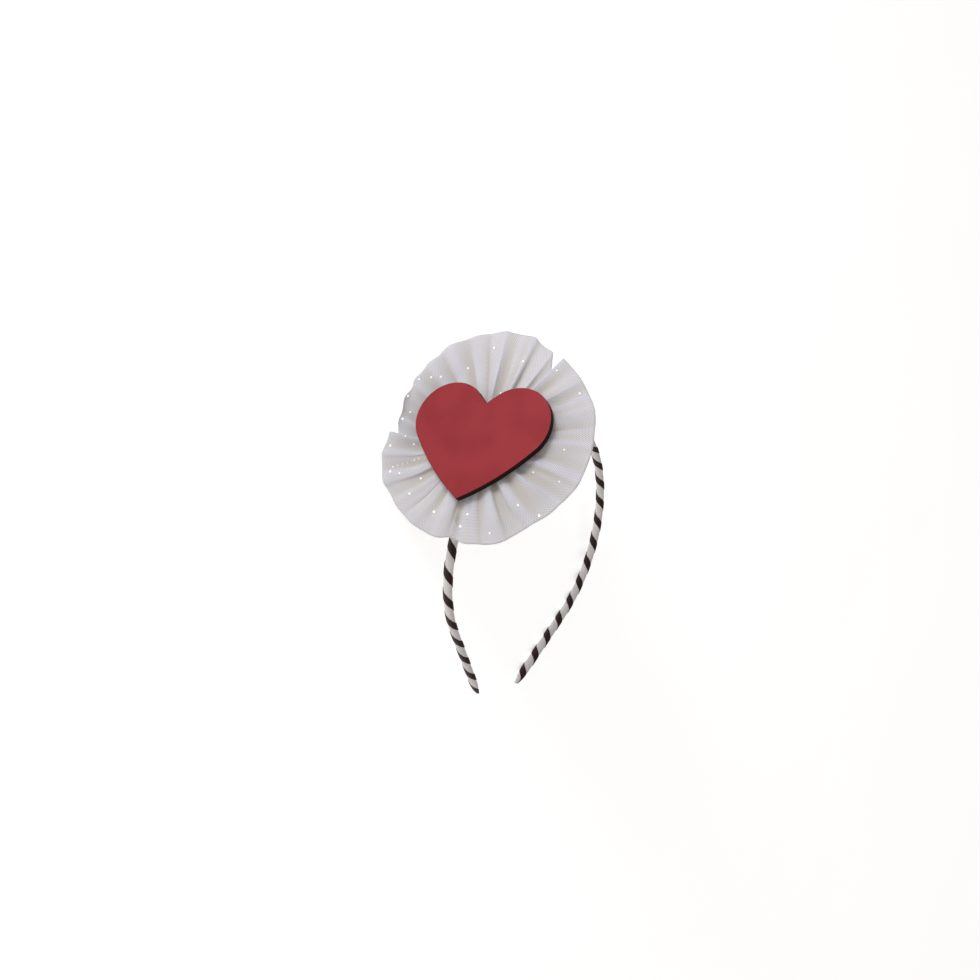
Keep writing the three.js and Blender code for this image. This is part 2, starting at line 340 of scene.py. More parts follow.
def worn_frame():
    """From the worn frame to the row frame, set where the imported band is."""
    turn = rest_turn()
    lengths, turns = np.meshgrid(band_stations(), np.linspace(0, FULL_TURN, BAND_SIDES, endpoint=False))
    points = moved(winding_points(lengths, turns, 0), turn)
    low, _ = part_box("band")
    return Matrix.Translation(low - Vector(points.reshape(-1, 3).min(0))) @ turn


def rosette_frame():
    """From the rosette's frame to the row frame: +Z faces out, +Y runs to the crown, +X to the front."""
    tulle = settings().tulle
    place = Matrix.Translation((tulle.up, tulle.side, tulle.out))
    leaned = turned(-tulle.lean, "Y") @ place @ turned(tulle.yaw, "X") @ turned(-math.pi / 2, "Z")
    return worn_frame() @ leaned


def moved(points, matrix):
    matrix = np.array(matrix)
    return np.asarray(points) @ matrix[:3, :3].T + matrix[:3, 3]


def smoothstep(x, low, high):
    t = np.clip((np.asarray(x, float) - low) / (high - low), 0, 1)
    return t * t * (3 - 2 * t)


# Hoop
def hoop_lengths():
    """Distances along the hoop from the crown to where a leg starts, and to the tip."""
    hoop = settings().hoop
    arc = hoop.radius * hoop.half_arc
    return arc, arc + hoop.leg


def band_stations():
    """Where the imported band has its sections, from tip to tip."""
    hoop = settings().hoop
    _, half = hoop_lengths()
    inner = half - hoop.taper
    middle = np.linspace(-inner, inner, math.ceil(2 * inner / BAND_STEP) + 1)
    taper = inner + hoop.taper * np.arange(1, BAND_TIP_STEPS + 1) / BAND_TIP_STEPS
    return np.concatenate([-taper[::-1], middle, taper])


def winding_points(along, turn, proud):
    """Points on the wound band: along from the crown, turned from outward to the back, proud of it."""
    hoop = settings().hoop
    arc, half = hoop_lengths()
    along, turn = np.asarray(along, float), np.asarray(turn, float)
    on_arc = np.clip(along, -arc, arc)
    around = on_arc / hoop.radius
    outward = np.stack([np.sin(around), 0 * around, np.cos(around)], -1)
    forward = np.stack([np.cos(around), 0 * around, -np.sin(around)], -1)
    from_tip = np.clip(half - np.abs(along), 0, hoop.taper)
    left = hoop.tip + (1 - hoop.tip) * np.sin(0.5 * math.pi * from_tip / hoop.taper)
    past = np.clip((np.abs(along) - half) / hoop.cap, 0, 1)
    left = left * np.sqrt(1 - past ** 2)
    high = (left * hoop.thickness / 2 + proud) * np.cos(turn)
    wide = (left * hoop.width / 2 + proud) * np.sin(turn)
    centre = outward * hoop.radius + forward * (along - on_arc)[..., None]
    return centre + outward * high[..., None] + np.array([0, 1.0, 0]) * wide[..., None]


def stripe_centre(turn):
    """Where along the hoop the dark ribbon's middle lies at a turn."""
    ribbon = settings().ribbon
    _, half = hoop_lengths()
    return -half + ribbon.inset + ribbon.pitch * (turn - ribbon.start) / FULL_TURN


# Meshes
def link_object(name, data):
    made = bpy.data.objects.new(name, data)
    bpy.context.scene.collection.objects.link(made)
    return made


def link_mesh(name, points, faces, uvs=None):
    """A mesh object at the origin. uvs has one pair for each point."""
    mesh = bpy.data.meshes.new(name)
    mesh.from_pydata([tuple(p) for p in points], [], [tuple(f) for f in faces])
    mesh.validate()
    if uvs is not None:
        layer = mesh.uv_layers.new(name=CLOTH_UV)
        corners = np.zeros(len(mesh.loops), int)
        mesh.loops.foreach_get("vertex_index", corners)
        layer.data.foreach_set("uv", np.asarray(uvs, np.float32)[corners].ravel())
    mesh.shade_smooth()
    return link_object(name, mesh)


def paint_points(mesh, name, values, kind="FLOAT", field="value"):
    """An attribute with a value for each point of a mesh."""
    layer = mesh.attributes.new(name, kind, "POINT")
    layer.data.foreach_set(field, values.astype(np.float32).ravel())


def grid_faces(rows, columns, start=0, wrap=False):
    """Quads over a grid of points that is stored row by row."""
    faces = []
    for i in range(rows - 1):
        for j in range(columns if wrap else columns - 1):
            here = start + i * columns + j
            beside = start + i * columns + (j + 1) % columns
            faces.append((here, beside, beside + columns, here + columns))
    return faces


def outward_faces(made):
    """Turns every face of a closed piece outwards."""
    work = bmesh.new()
    work.from_mesh(made.data)
    bmesh.ops.remove_doubles(work, verts=work.verts, dist=1e-7)
    bmesh.ops.recalc_face_normals(work, faces=work.faces)
    work.to_mesh(made.data)
    work.free()
    return made


def dress(made, slot, *materials, node=None):
    """Gives a finished piece its materials and the body it rides on, and hides the imported part that it
    stands for.
    """
    for material in materials:
        if material.name not in made.data.materials:
            made.data.materials.append(material)
    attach(made, "root")
    if node:
        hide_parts(node)
    return made


# Node helpers
def feed(tree, socket, value):
    """Links another node's output to a socket, or sets the socket's own value."""
    if isinstance(value, bpy.types.NodeSocket):
        tree.links.new(value, socket)
    else:
        socket.default_value = value


def add(tree, kind, inputs=None, **options):
    """One node with its options set and its inputs fed."""
    made = tree.nodes.new(kind)
    for name, value in options.items():
        setattr(made, name, value)
    for name, value in (inputs or {}).items():
        feed(tree, made.inputs[name], value)
    return made


def maths(tree, operation, first, second=0.0):
    return add(tree, "ShaderNodeMath", {0: first, 1: second}, operation=operation).outputs[0]


def times(tree, first, second):
    return maths(tree, "MULTIPLY", first, second)


def plus(tree, first, second):
    return maths(tree, "ADD", first, second)


def noise(tree, place, scale, detail):
    inputs = {"Vector": place, "Scale": scale, "Detail": detail}
    return add(tree, "ShaderNodeTexNoise", inputs).outputs["Fac"]


def mixed(tree, factor, first, second):
    """A colour between two colours."""
    return add(tree, "ShaderNodeMix", {0: factor, 6: first, 7: second}, data_type="RGBA").outputs[2]


def bumped(tree, height, millimetres, strong):
    inputs = {"Height": height, "Distance": millimetres * MM, "Strength": strong}
    return add(tree, "ShaderNodeBump", inputs).outputs[0]


def ranged(tree, value, low, high):
    return add(tree, "ShaderNodeMapRange", {0: value, "To Min": low, "To Max": high}).outputs[0]


def split(tree, vector):
    return add(tree, "ShaderNodeSeparateXYZ", {0: vector}).outputs


def cloth_uv(tree):
    return add(tree, "ShaderNodeUVMap", uv_map=CLOTH_UV).outputs[0]


def painted(tree, name):
    return add(tree, "ShaderNodeAttribute", attribute_name=name).outputs["Fac"]


def shaded(tint, by):
    """The same colour, lighter or darker."""
    return (*(min(1, channel * by) for channel in tint[:3]), 1)


# Shader groups
def shader_group(name, vector, numbers, outputs):
    """An empty group that takes one vector and some numbers and puts out numbers, and its two ends."""
    group = bpy.data.node_groups.new(name, "ShaderNodeTree")
    group.interface.new_socket(vector, in_out="INPUT", socket_type="NodeSocketVector")
    for way, labels in (("INPUT", numbers), ("OUTPUT", outputs)):
        for label in labels:
            group.interface.new_socket(label, in_out=way, socket_type="NodeSocketFloat")
    ends = group.nodes.new("NodeGroupInput"), group.nodes.new("NodeGroupOutput")
    return group, ends[0].outputs, ends[1].inputs


def thread_weave():
    """Fine threads across and along a ribbon, in the units of its own UV map."""
    group, given, out = shader_group("thread_weave", "UV", ["Across", "Along"], ["Height", "Slub"])
    parts = split(group, given["UV"])
    warp = maths(group, "SINE", times(group, parts["Y"], given["Across"]))
    weft = maths(group, "SINE", times(group, parts["X"], given["Along"]))
    lifted = times(group, times(group, warp, weft), 0.35)
    ribs = times(group, warp, 0.5)
    slub = noise(group, given["UV"], 0.9, 3.0)
    feed(group, out["Height"], plus(group, plus(group, lifted, ribs), slub))
    feed(group, out["Slub"], slub)
    return group


def soft_mottle():
    """Soft cloudy patches with fine grain over them, for cloth, felt and brushed paint."""
    numbers = ["Patch scale", "Grain scale", "Grain share"]
    group, given, out = shader_group("soft_mottle", "Place", numbers, ["Patch", "Grain", "Both"])
    patch = noise(group, given["Place"], given["Patch scale"], 2.0)
    grain = noise(group, given["Place"], given["Grain scale"], 3.0)
    limits = {0: patch, "From Min": 0.34, "From Max": 0.66}
    spread = add(group, "ShaderNodeMapRange", limits, interpolation_type="SMOOTHSTEP").outputs[0]
    grained = times(group, maths(group, "SUBTRACT", grain, 0.5), given["Grain share"])
    feed(group, out["Patch"], spread)
    feed(group, out["Grain"], grain)
    feed(group, out["Both"], plus(group, spread, grained))
    return group


def net_mesh():
    """The six-sided holes of a net, from three crossing waves in the units of its own UV map."""
    group, given, out = shader_group("net_mesh", "UV", ["Hole"], ["Thread"])
    parts = split(group, given["UV"])
    turns = maths(group, "DIVIDE", 4 * math.pi / math.sqrt(3), given["Hole"])
    waves = []
    for toward in np.radians((0, 120, 240)):
        across = times(group, parts["X"], math.sin(toward))
        up = times(group, parts["Y"], math.cos(toward))
        waves.append(maths(group, "COSINE", times(group, plus(group, across, up), turns)))
    together = plus(group, plus(group, waves[0], waves[1]), waves[2])
    limits = {0: together, "From Min": 1.5, "From Max": -0.6}
    feed(group, out["Thread"], add(group, "ShaderNodeMapRange", limits).outputs[0])
    return group


def placed(tree, build, **inputs):
    """The outputs of a group in a material. A group is built the first time that it is placed."""
    group = bpy.data.node_groups.get(build.__name__) or build()
    named = {name.replace("_", " "): value for name, value in inputs.items()}
    return add(tree, "ShaderNodeGroup", named, node_tree=group).outputs


def mottled(tree, patch, grain, grained=0.2):
    """The soft mottle on a piece's own coordinates."""
    place = add(tree, "ShaderNodeTexCoord").outputs["Object"]
    return placed(
        tree, soft_mottle, Place=place, Patch_scale=patch, Grain_scale=grain, Grain_share=grained
    )


# Materials
def new_material(name):
    """A material with one Principled shader, and its tree."""
    material = bpy.data.materials.new(name)
    material.use_nodes = True
    return material, material.node_tree


def feed_shader(tree, **sockets):
    """Feeds the sockets of a material's Principled shader by name."""
    shader = tree.nodes["Principled BSDF"]
    for name, value in sockets.items():
        feed(tree, shader.inputs[name.replace("_", " ")], value)


def ribbon_material(name, tint, roughness, sheen):
    """Satin ribbon: fine threads on its own UV map, faint slubs and a soft sheen."""
    material, tree = new_material(name)
    weave = placed(tree, thread_weave, UV=cloth_uv(tree), Across=14.0, Along=9.0)
    mottle = mottled(tree, 180.0, 4000.0)
    base = mixed(tree, mottle["Both"], shaded(tint, 0.9), tint)
    feed_shader(
        tree,
        Base_Color=mixed(tree, ranged(tree, weave["Height"], 0, 0.35), base, shaded(tint, 0.78)),
        Roughness=ranged(tree, weave["Slub"], roughness - 0.1, roughness + 0.12),
        Normal=bumped(tree, weave["Height"], 0.05, 0.5),
        Sheen_Weight=sheen,
        Sheen_Roughness=0.4,
        Specular_IOR_Level=0.25,
    )
    return material


def tulle_material():
    """Gathered tulle: a fine net that is sheer in its holes, with a painted shade, warmer and darker, in
    the fold valleys.
    """
    tulle = settings().tulle
    material, tree = new_material("tulle_net")
    thread = placed(tree, net_mesh, UV=cloth_uv(tree), Hole=NET_HOLE)["Thread"]
    mottle = mottled(tree, 90.0, 3000.0, 0.5)
    cloth = mixed(tree, mottle["Both"], shaded(tulle.tint, 0.95), tulle.tint)
    # Painted shade: the cloth turns to the shade colour where the fold valleys lie
    gathered = mixed(tree, painted(tree, "shadowed"), cloth, tulle.valley)
    cover = ranged(tree, thread, tulle.cover, 0.97)
    feed_shader(
        tree,
        # The net holes lean to a darker copy of the painted shade
        Base_Color=mixed(tree, ranged(tree, thread, 0.5, 0), gathered, shaded(tulle.valley, 0.92)),
        Roughness=0.75,
        Alpha=maths(tree, "SUBTRACT", cover, painted(tree, "sheer")),
        Normal=bumped(tree, thread, 0.08, 0.35),
        Sheen_Weight=0.25,
        Sheen_Roughness=0.5,
    )
    return material


def paint_material():
    """Matte brushed paint on the heart's face, with soft darker patches."""
    heart = settings().heart
    material, tree = new_material("heart_paint")
    mottle = mottled(tree, 55.0, 3500.0, 0.35)
    feed_shader(
        tree,
        Base_Color=mixed(tree, mottle["Both"], heart.shade, heart.paint),
        Roughness=ranged(tree, mottle["Grain"], 0.55, 0.75),
        Normal=bumped(tree, mottle["Grain"], 0.06, 0.3),
        Specular_IOR_Level=0.2,
    )
    return material


def burnt_material():
    """Burnt cut edge of the plate, with the fine upright lines that the cutter leaves."""
    burnt = settings().heart.burnt
    material, tree = new_material("heart_cut_edge")
    parts = split(tree, cloth_uv(tree))
    inputs = {"W": times(tree, parts["X"], 4.0), "Detail": 4.0}
    lines = add(tree, "ShaderNodeTexNoise", inputs, noise_dimensions="1D").outputs["Fac"]
    layers = maths(tree, "SINE", times(tree, parts["Y"], 6.5))
    shade = plus(tree, lines, times(tree, layers, 0.12))
    feed_shader(
        tree,
        Base_Color=mixed(tree, shade, shaded(burnt, 0.55), shaded(burnt, 1.4)),
        Roughness=ranged(tree, lines, 0.6, 0.85),
        Normal=bumped(tree, lines, 0.1, 0.6),
        Specular_IOR_Level=0.12,
    )
    return material


def felt_material():
    """Pressed felt with short tangled fibres."""
    felt = settings().pad.felt
    material, tree = new_material("white_felt")
    mottle = mottled(tree, 900.0, 5000.0, 0.8)
    feed_shader(
        tree,
        Base_Color=mixed(tree, mottle["Both"], shaded(felt, 0.93), felt),
        Roughness=ranged(tree, mottle["Grain"], 0.85, 1.0),
        Normal=bumped(tree, mottle["Both"], 0.3, 0.6),
        Sheen_Weight=0.5,
        Sheen_Roughness=0.6,
    )
    return material


def sparkle_material():
    """Bright foil flecks that catch the light and glow a little on their own, a painted glint."""
    tint = settings().sparkle.tint
    material, tree = new_material("sparkle_foil")
    mottle = mottled(tree, 700.0, 6000.0)
    feed_shader(
        tree,
        Base_Color=mixed(tree, mottle["Patch"], shaded(tint, 0.92), tint),
        Roughness=ranged(tree, mottle["Grain"], 0.1, 0.35),
        Coat_Roughness=0.1,
        # Painted glint: the flecks glow a little though nothing lights them
        Emission_Color=mixed(tree, mottle["Patch"], shaded(tint, 0.8), tint),
        Emission_Strength=0.45,
    )
    return material


def floor_material():
    """Pale paper with a faint grain, lit a little from below."""
    stage = settings().stage
    material, tree = new_material("pale_paper")
    mottle = mottled(tree, 6.0, 900.0)
    feed_shader(
        tree,
        Base_Color=mixed(tree, mottle["Both"], shaded(stage.paper, 0.985), stage.paper),
        Roughness=0.95,
        Specular_IOR_Level=0.1,
        Emission_Color=(1, 1, 1, 1),
        Emission_Strength=stage.glow,
    )
    return material


# Ribbon
def white_winding():
    """The white ribbon over the whole band, rounded over both tips, bulging between the dark turns."""
    hoop, ribbon = settings().hoop, settings().ribbon
    _, half = hoop_lengths()
    sides, stations, cap_rows = 36, 760, 6
    caps = hoop.cap * np.sin(np.linspace(0.12, 0.5, cap_rows) * math.pi)
    middle = np.linspace(-half, half, stations)
    along = np.concatenate([-(half + caps[::-1]), middle, half + caps])
    turns = np.linspace(0, FULL_TURN, sides + 1)
    lengths, around = np.meshgrid(along, turns, indexing="ij")
    phase = (lengths - stripe_centre(around)) / ribbon.pitch
    bulge = hoop.bulge * np.abs(np.sin(math.pi * phase))
    bulge = bulge * smoothstep(half - np.abs(lengths), 0, hoop.taper / 2)
    points = winding_points(lengths, around, bulge)
    lean = math.pi / 4
    across = (phase * ribbon.pitch * math.cos(lean)) / MM
    follow = (lengths * math.sin(lean) + around * hoop.width / 2 * math.cos(lean)) / MM
    uvs = np.stack([follow, across], -1)
    rows, columns = lengths.shape
    faces = grid_faces(rows, columns)
    first, last = points[0].mean(0), points[-1].mean(0)
    count = rows * columns
    for j in range(columns - 1):
        faces.append((count, j + 1, j))
        faces.append((count + 1, count - columns + j, count - columns + j + 1))
    flat = np.concatenate([points.reshape(-1, 3), [first, last]])
    pairs = np.concatenate([uvs.reshape(-1, 2), [uvs[0, 0], uvs[-1, 0]]])
    return link_mesh("band_ribbon", moved(flat, worn_frame()), faces, pairs)


def dark_section():
    """The dark ribbon's section: shares of its half width, and the height of each over its underside."""
    half_top = np.array([1, 0.985, 0.92, 0.7, 0.35])
    half_crown = np.array([0.25, 0.7, 0.95, 1, 1.02])
    under = np.array([-0.98, -0.5, 0, 0.5, 0.98])
    over = np.concatenate([half_top, [0], -half_top[::-1], under])
    level = np.concatenate([half_crown, [1.04], half_crown[::-1], 0 * under])
    return over, level


def dark_winding():
    """The dark ribbon: a strip with soft edges that climbs round the band as a left-handed helix."""
    ribbon = settings().ribbon
    _, half = hoop_lengths()
    limit = half - ribbon.end_gap
    steps, most_turns = 40, 40
    turns = np.arange(-steps, most_turns * steps) * 2 * math.pi / steps
    centres = stripe_centre(turns)
    turns = turns[(centres > -limit) & (centres < limit)]
    over, level = dark_section()
    sway = 0.03 * np.sin(3.1 * turns) + 0.02 * np.sin(7.7 * turns + 1)
    reach = over[None] * ribbon.width / 2 * (1 + sway[:, None])
    proud = ribbon.gap + level[None] * ribbon.thickness + 0 * reach
    around = turns[:, None] + 0 * reach
    lengths = np.clip(stripe_centre(around) + reach, -half, half)
    points = winding_points(lengths, around, proud)
    rows, columns = lengths.shape
    faces = grid_faces(rows, columns, wrap=True)
    faces.append(tuple(range(columns)))
    faces.append(tuple(range(rows * columns - 1, (rows - 1) * columns - 1, -1)))
    run = math.hypot(ribbon.pitch, math.pi * settings().hoop.width) / FULL_TURN
    uvs = np.stack([around * run / MM, reach / MM], -1).reshape(-1, 2)
    made = link_mesh("stripe_winding", moved(points.reshape(-1, 3), worn_frame()), faces, uvs)
    return outward_faces(made)


# Tulle
def fold_rows(folds, deg):
    """How far the rim reaches, how high it lies and the broad wave at each angle."""
    starts, reach, lift, draw = np.array(folds, float).T
    i = np.clip(np.searchsorted(starts, deg, side="right") - 1, 0, len(folds) - 2)
    t = (deg - starts[i]) / (starts[i + 1] - starts[i])
    wave = np.cos(2 * math.pi * t)

    def eased(column):
        values = column * MM
        return values[i] + (values[i + 1] - values[i]) * smoothstep(t, 0, 1)

    return eased(reach) - draw[i] * MM * (1 - wave) / 2, eased(lift), wave


def fan_surface(fan):
    """The middle of a gathered fan: rows from the gather to the rim, columns round it."""
    tulle = settings().tulle
    draws = np.random.default_rng(fan.seed)
    root, shelf = fan.root * MM, fan.shelf * MM
    start, end = fan.folds[0].deg, fan.folds[-1].deg
    deg = np.linspace(start, end, int((end - start) / FAN_COLUMN_DEG))
    out = np.linspace(0, 1, FAN_ROWS) ** FAN_ROW_POWER
    reach, lift, wave = fold_rows(fan.folds, deg)
    radius = tulle.gather + (reach - tulle.gather)[None] * out[:, None]
    spread = smoothstep(out, 0.55, 1)[:, None]
    climb = smoothstep(out, 0, 0.35)[:, None]
    easing = 1 + (tulle.rim_fold - 1) * spread
    grow = np.minimum(1, (radius / FOLD_FULL_RADIUS) ** 2)
    broad = wave[None] * easing * tulle.fold * grow
    height = root + (shelf - root) * climb + (lift[None] - shelf) * spread + broad
    shift = np.zeros_like(height)
    kept = 1 - tulle.open * smoothstep(out, 0.45, 1)[:, None]
    for pleat in fan.pleats:
        away = pleat.face * (deg - pleat.deg)
        x = away / (PLEAT_SOFTNESS * pleat.tuck)
        raised = 0.5 * (1 - np.tanh(x)) * np.exp(-np.maximum(0, -away) / pleat.sink)
        height = height + pleat.height * MM * raised[None] * kept * grow
        shift = shift + pleat.face * pleat.tuck * (-x * np.exp(-x ** 2 / 2))[None] * kept
    crimp = np.zeros_like(height)
    for _ in range(CRIMP_WAVES):
        count, phase, drift = [draws.uniform(*ends) for ends in (CRIMP_COUNT, CRIMP_PHASE, CRIMP_DRIFT)]
        crimp = crimp + np.cos(np.radians(deg)[None] * count + phase + drift * out[:, None] * 3)
    height = height + tulle.crimp * crimp / 3 * (1 - 0.75 * spread) * grow
    around = np.radians(deg[None] + shift)
    points = np.stack([radius * np.cos(around), radius * np.sin(around), height], -1)
    # Painted shade share: highest in the valleys of the broad folds and crimps, less towards the rim
    shadowed = np.clip(0.5 - 0.5 * wave[None] * easing - 0.12 * crimp, 0, 1) * (1 - 0.5 * spread)
    uvs = np.stack([np.radians(deg)[None] * NET_RADIUS + 0 * radius, radius / MM], -1)
    return points, shadowed, uvs, deg, out


def normals_of(points):
    """Unit normals of a grid of points."""
    across = np.gradient(points, axis=1)
    along = np.gradient(points, axis=0)
    normal = np.cross(along, across)
    return normal / np.maximum(np.linalg.norm(normal, axis=-1, keepdims=True), 1e-12)


def pressed(height, rest):
    """Heights that bend softly to a rest height instead of going below it."""
    above = height - rest
    return rest + (above + np.hypot(above, settings().tulle.press)) / 2


def closed_cloth(name, points, thickness, uvs):
    """A closed sheet about a middle surface, thinner at the rim, pressed softly flat on the floor."""
    rows, columns = points.shape[:2]
    normal = normals_of(points)
    matrix = rosette_frame()
    thin = np.linspace(1, RIM_THIN, rows)[:, None, None] * thickness / 2
    walls = [moved(points + normal * side * thin, matrix) for side in (1, -1)]
    for wall, rest in zip(walls, (thickness, FLOOR_GAP)):
        wall[..., 2] = pressed(wall[..., 2], rest)
    count = rows * columns
    faces = grid_faces(rows, columns)
    faces += [face[::-1] for face in grid_faces(rows, columns, start=count)]
    border = list(range(columns))
    border += [i * columns + columns - 1 for i in range(1, rows)]
    border += [(rows - 1) * columns + j for j in range(columns - 2, -1, -1)]
    border += [i * columns for i in range(rows - 2, 0, -1)]
    for here, beside in zip(border, border[1:] + border[:1]):
        faces.append((beside, here, here + count, beside + count))
    everything = np.concatenate([wall.reshape(-1, 3) for wall in walls])
    both = np.concatenate([uvs.reshape(-1, 2)] * 2)
    return link_mesh(name, everything, faces, both)


def make_fan(which):
    """One fan of tulle, with its share of painted shade and how sheer it is painted on the points of
    both its walls.
    """
    points, shadowed, uvs, deg, out = fan_surface(FANS[which])
    made = closed_cloth(f"tulle_{which}", points, settings().tulle.wall, uvs)
    slit = np.exp(-((deg - SLIT_DEG) / SLIT_WIDTH) ** 2)[None] * smoothstep(out, 0.55, 0.75)[:, None]
    sheer = SLIT_SHEER * slit if which == "front" else 0 * shadowed
    for name, values in (("shadowed", shadowed), ("sheer", sheer)):
        paint_points(made.data, name, np.concatenate([values.ravel()] * 2))
    return outward_faces(made)


# Sparkles
def sparkle_rows(draws):
    """Each sparkle's fan, angle, distance, size and side: in front, in the row of glints, behind."""
    sparkle = settings().sparkle
    rows = [(fan, deg, radius, 1.0, 1) for fan, spots in SPARKLES.items() for deg, radius in spots]
    along = [np.linspace(*GLINT_ROW[key], GLINT_ROW["count"]) for key in ("deg", "radius")]
    rows += [("front", deg, radius, sparkle.tiny, 1) for deg, radius in zip(*along)]
    for _ in range(sparkle.behind):
        fan = "front" if draws.random() < BEHIND_FRONT_SHARE else "back"
        folds = FANS[fan].folds
        deg = draws.uniform(folds[0].deg + BEHIND_MARGIN_DEG, folds[-1].deg - BEHIND_MARGIN_DEG)
        rows.append((fan, deg, draws.uniform(*BEHIND_RADIUS), BEHIND_SIZE, -1))
    return rows


def sparkle_points():
    """Places, outward directions and sizes of all sparkles, on the tulle's own surface."""
    tulle, sparkle = settings().tulle, settings().sparkle
    places, outs, sizes = [], [], []
    draws = np.random.default_rng(sparkle.seed)
    surfaces = {name: fan_surface(fan)[0] for name, fan in FANS.items()}
    normals = {name: normals_of(points) for name, points in surfaces.items()}
    for fan, deg, radius, size, side in sparkle_rows(draws):
        points = surfaces[fan]
        polar = np.degrees(np.arctan2(points[..., 1], points[..., 0]))
        miss = np.radians((polar - deg + 180) % 360 - 180) * radius * MM
        wrong = np.hypot(miss, np.hypot(points[..., 0], points[..., 1]) - radius * MM)
        wrong = wrong - side * NEAR_SIDE_PULL * points[..., 2]
        nearest = np.unravel_index(np.argmin(wrong), wrong.shape)
        normal = normals[fan][nearest]
        outward = normal * (1 if normal[2] > 0 else -1) * side
        places.append(points[nearest] + outward * (tulle.wall / 2 + sparkle.thickness / 3))
        outs.append(outward)
        sizes.append(size * draws.uniform(*SPARKLE_SIZES))
    matrix = rosette_frame()
    set_down = moved(places, matrix)
    set_down[:, 2] = pressed(set_down[:, 2], sparkle.radius)
    return set_down, np.array(outs) @ np.array(matrix)[:3, :3].T, np.array(sizes)


def sparkle_tree():
    """Geometry nodes that set one faceted fleck on each point, facing out of the cloth."""
    tree = bpy.data.node_groups.new("sparkle_flecks", "GeometryNodeTree")
    kinds = ("Geometry", "Float", "Float", "Int", "Material")
    for name, kind in zip(("Points", "Radius", "Thickness", "Seed", "Foil"), kinds):
        tree.interface.new_socket(name, in_out="INPUT", socket_type=f"NodeSocket{kind}")
    tree.interface.new_socket("Flecks", in_out="OUTPUT", socket_type="NodeSocketGeometry")
    given = tree.nodes.new("NodeGroupInput").outputs
    out = tree.nodes.new("NodeGroupOutput").inputs
    sizes = {"Vertices": FLECK_SIDES, "Radius": given["Radius"], "Depth": given["Thickness"]}
    fleck = add(tree, "GeometryNodeMeshCylinder", sizes, fill_type="NGON")
    outward = add(tree, "GeometryNodeInputNamedAttribute", {"Name": "outward"}, data_type="FLOAT_VECTOR")
    size = add(tree, "GeometryNodeInputNamedAttribute", {"Name": "size"}, data_type="FLOAT")
    spin = add(tree, "FunctionNodeRandomValue", {3: FULL_TURN, "Seed": given["Seed"]}, data_type="FLOAT")
    facing = add(tree, "FunctionNodeAlignRotationToVector", {"Vector": outward.outputs[0]}, axis="Z")
    turn = add(tree, "FunctionNodeAxisAngleToRotation", {"Axis": (0, 0, 1), "Angle": spin.outputs[1]})
    both = {"Rotation": facing.outputs[0], "Rotate By": turn.outputs[0]}
    rotate = add(tree, "FunctionNodeRotateRotation", both, rotation_space="LOCAL")
    set_on = add(tree, "GeometryNodeInstanceOnPoints", {
        "Points": given["Points"],
        "Instance": fleck.outputs["Mesh"],
        "Rotation": rotate.outputs[0],
        "Scale": size.outputs[0],
    })
    real = add(tree, "GeometryNodeRealizeInstances", {"Geometry": set_on.outputs[0]})
    covered = {"Geometry": real.outputs[0], "Material": given["Foil"]}
    foiled = add(tree, "GeometryNodeSetMaterial", covered)
    feed(tree, out["Flecks"], foiled.outputs[0])
    return tree


def grown(holder, tree, name, **inputs):
    """The plain mesh that a geometry node tree makes from an object."""
    modifier = holder.modifiers.new("nodes", "NODES")
    modifier.node_group = tree
    for item in tree.interface.items_tree:
        if item.in_out == "INPUT" and item.name in inputs:
            modifier[item.identifier] = inputs[item.name]
    graph = bpy.context.evaluated_depsgraph_get()
    mesh = bpy.data.meshes.new_from_object(holder.evaluated_get(graph), depsgraph=graph)
    mesh.name = name
    holder.modifiers.clear()
    bpy.data.objects.remove(holder)
    return link_object(name, mesh)


# Heart
def heart_outline(inset=0.0):
    """Points round the heart, counter-clockwise from the tip, drawn in by inset."""
    heart = settings().heart
    notch_draw, tip_draw = 1.4, 1.45
    side_points, lobe_points = 28, 64
    lobe = heart.lobe - inset
    dip = heart.notch - inset * notch_draw
    notch = math.atan2(dip, heart.offset) + math.acos(lobe / math.hypot(heart.offset, dip))
    cheek = np.array([heart.offset + lobe * math.cos(heart.leave), lobe * math.sin(heart.leave)])
    tip = np.array([0, -heart.tip + inset * tip_draw])
    edge = cheek - tip
    bowed = np.array([edge[1], -edge[0]]) / np.hypot(*edge) * 2 * heart.bow
    control = (tip + cheek) / 2 + bowed
    t = np.linspace(0, 1, side_points)[:-1, None]
    side = (1 - t) ** 2 * tip + 2 * t * (1 - t) * control + t ** 2 * cheek
    sweep = np.linspace(heart.leave, math.pi - notch, lobe_points)
    lobe_arc = np.stack([heart.offset + lobe * np.cos(sweep), lobe * np.sin(sweep)], -1)
    right = np.concatenate([side, lobe_arc, [(0, dip)]])
    left = right[1:-1][::-1] * np.array([-1, 1])
    return np.concatenate([right, left]) + np.array([0, heart.centre])


